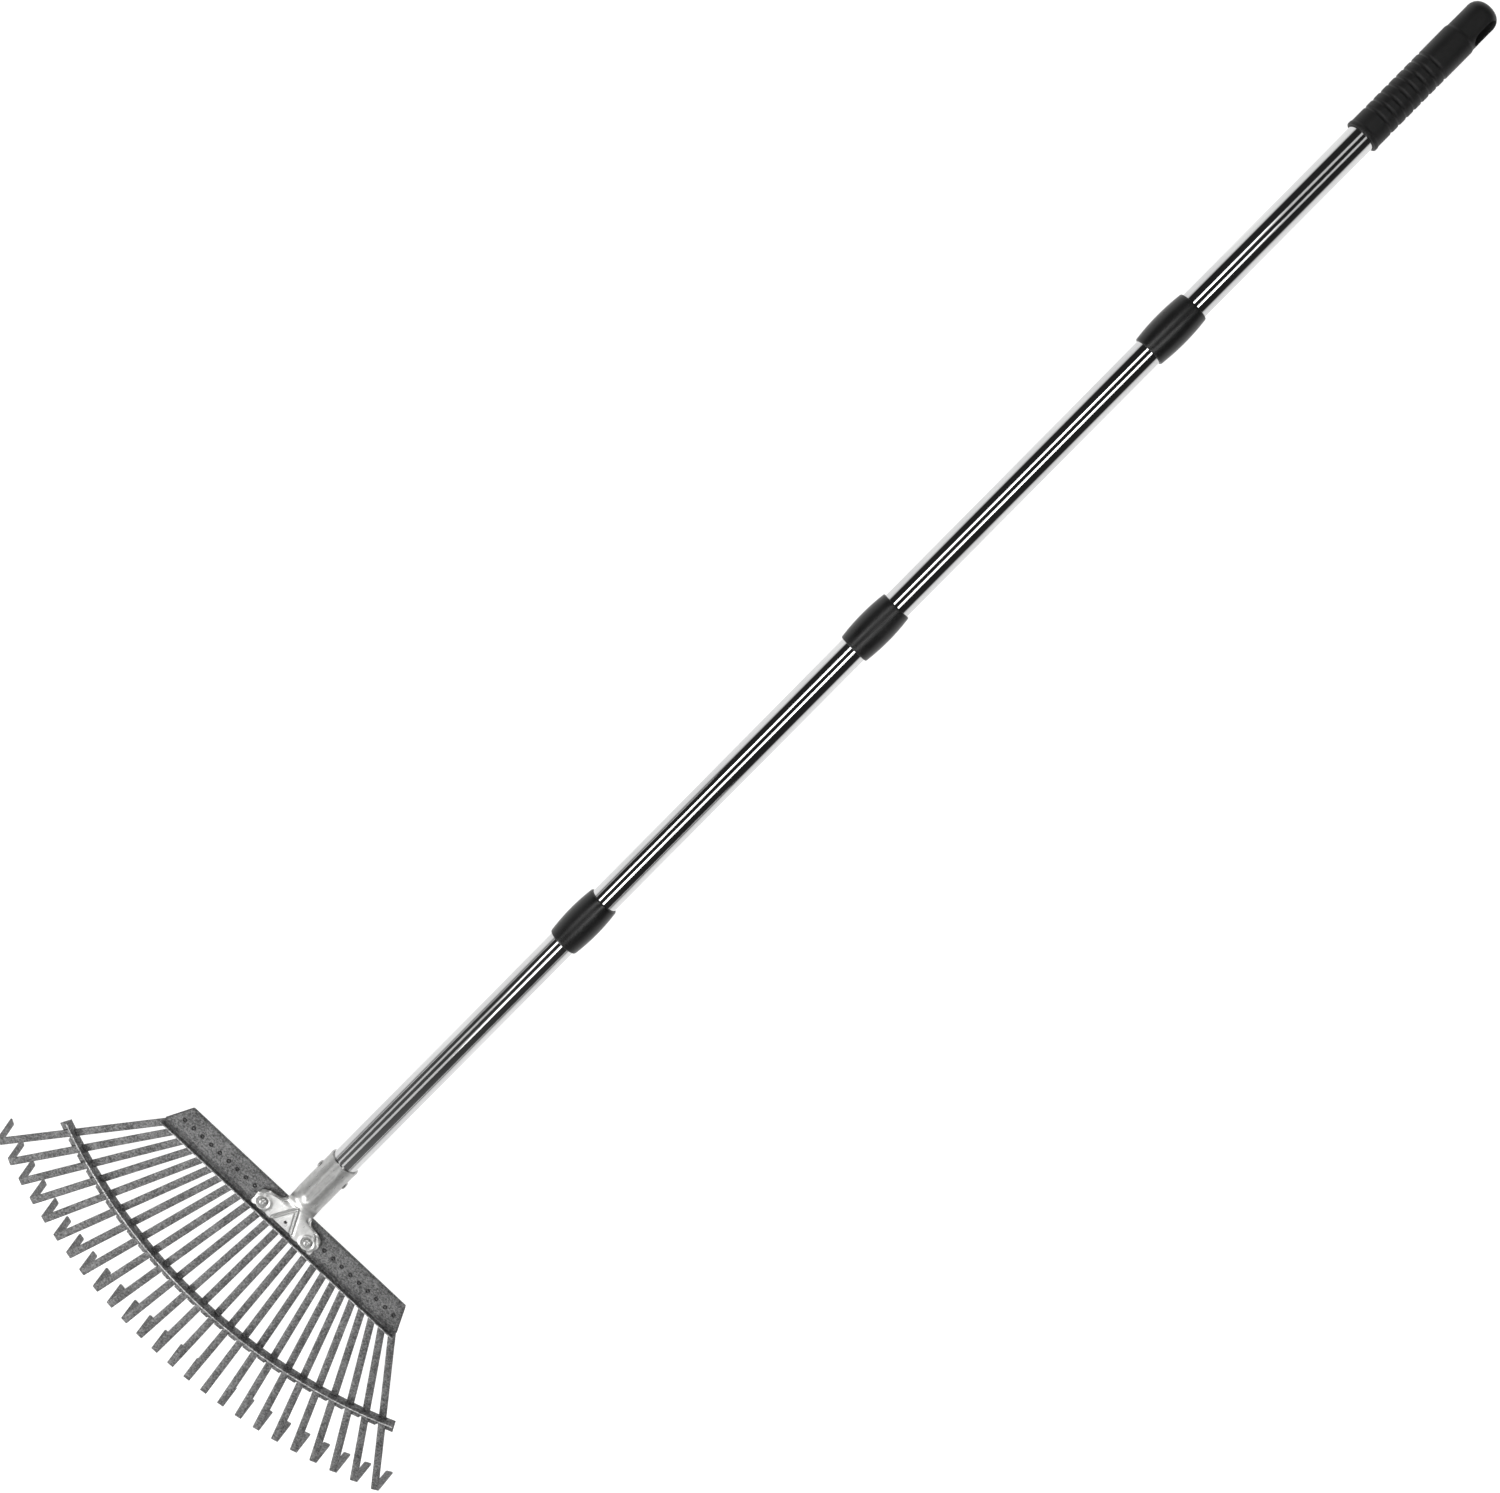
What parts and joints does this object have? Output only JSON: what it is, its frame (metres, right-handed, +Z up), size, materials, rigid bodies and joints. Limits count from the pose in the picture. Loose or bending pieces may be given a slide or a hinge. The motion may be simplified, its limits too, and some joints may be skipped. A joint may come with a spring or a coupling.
{
  "type": "leaf rake",
  "caption": "Fan-shaped leaf rake: flat spring tines with square hooks in a folded plate, a slotted arc brace, a stamped socket bracket and a screw-together tubular pole with grip.",
  "frame": {"origin": "centre of the bounding box on the ground plane, with the rake lying hooks down", "axes": "+Y from the tines towards the grip, +Z up, +X across the fan of tines"},
  "size_m": [0.474, 1.5974, 0.0882],
  "materials": {
    "grey_coat": "mottled mid-grey coat on spring steel",
    "bright_zinc": "bright zinc plating on stamped steel",
    "pole_steel": "polished stainless tube",
    "sleeve_plastic": "satin black moulded plastic",
    "plug_plastic": "black moulded plastic with a coarse thread",
    "grip_plastic": "matte black moulded grip"
  },
  "bodies": {
    "head_section": {"tine_01": "grey_coat", "tine_02": "grey_coat", "tine_03": "grey_coat", "tine_04": "grey_coat", "tine_05": "grey_coat", "tine_06": "grey_coat", "tine_07": "grey_coat", "tine_08": "grey_coat", "tine_09": "grey_coat", "tine_10": "grey_coat", "tine_11": "grey_coat", "tine_12": "grey_coat", "tine_13": "grey_coat", "tine_14": "grey_coat", "tine_15": "grey_coat", "tine_16": "grey_coat", "tine_17": "grey_coat", "tine_18": "grey_coat", "tine_19": "grey_coat", "tine_20": "grey_coat", "tine_21": "grey_coat", "tine_22": "grey_coat", "tine_23": "grey_coat", "tine_24": "grey_coat", "tine_25": "grey_coat", "head_plate": "grey_coat", "tine_rivets_left": "grey_coat", "tine_rivets_right": "grey_coat", "tine_rivets_hidden": "grey_coat", "slotted_brace": "grey_coat", "socket_bracket": "bright_zinc", "bracket_rivets": "bright_zinc", "socket_rivet": "bright_zinc", "tube_1": "pole_steel", "coupling_sleeve_1": "sleeve_plastic"},
    "plug_1": {"threaded_plug_1": "plug_plastic"},
    "section_2": {"tube_2": "pole_steel", "coupling_sleeve_2": "sleeve_plastic"},
    "plug_2": {"threaded_plug_2": "plug_plastic"},
    "section_3": {"tube_3": "pole_steel", "coupling_sleeve_3": "sleeve_plastic"},
    "plug_3": {"threaded_plug_3": "plug_plastic"},
    "section_4": {"tube_4": "pole_steel", "grip": "grip_plastic"}
  },
  "joints": [
    {"name": "coupling_1_travel", "type": "slide", "parent": "head_section", "child": "plug_1", "axis": [0, 0.9991, -0.0428], "range_m": [0, 0.024]},
    {"name": "coupling_1_turn", "type": "hinge", "parent": "plug_1", "child": "section_2", "pos_m": [0, -0.22758, 0.05754], "axis": [0, 0.9991, -0.0428], "range_deg": [0, 2160]},
    {"name": "coupling_2_travel", "type": "slide", "parent": "section_2", "child": "plug_2", "axis": [0, 0.9991, -0.0428], "range_m": [0, 0.024]},
    {"name": "coupling_2_turn", "type": "hinge", "parent": "plug_2", "child": "section_3", "pos_m": [0, 0.1201, 0.04265], "axis": [0, 0.9991, -0.0428], "range_deg": [0, 2160]},
    {"name": "coupling_3_travel", "type": "slide", "parent": "section_3", "child": "plug_3", "axis": [0, 0.9991, -0.0428], "range_m": [0, 0.024]},
    {"name": "coupling_3_turn", "type": "hinge", "parent": "plug_3", "child": "section_4", "pos_m": [0, 0.4558, 0.02827], "axis": [0, 0.9991, -0.0428], "range_deg": [0, 2160]}
  ],
  "couplings": [
    {"joint": "coupling_1_turn", "follows": "coupling_1_travel", "rad_per_m": 1570.8},
    {"joint": "coupling_2_turn", "follows": "coupling_2_travel", "rad_per_m": 1570.8},
    {"joint": "coupling_3_turn", "follows": "coupling_3_travel", "rad_per_m": 1570.8}
  ]
}
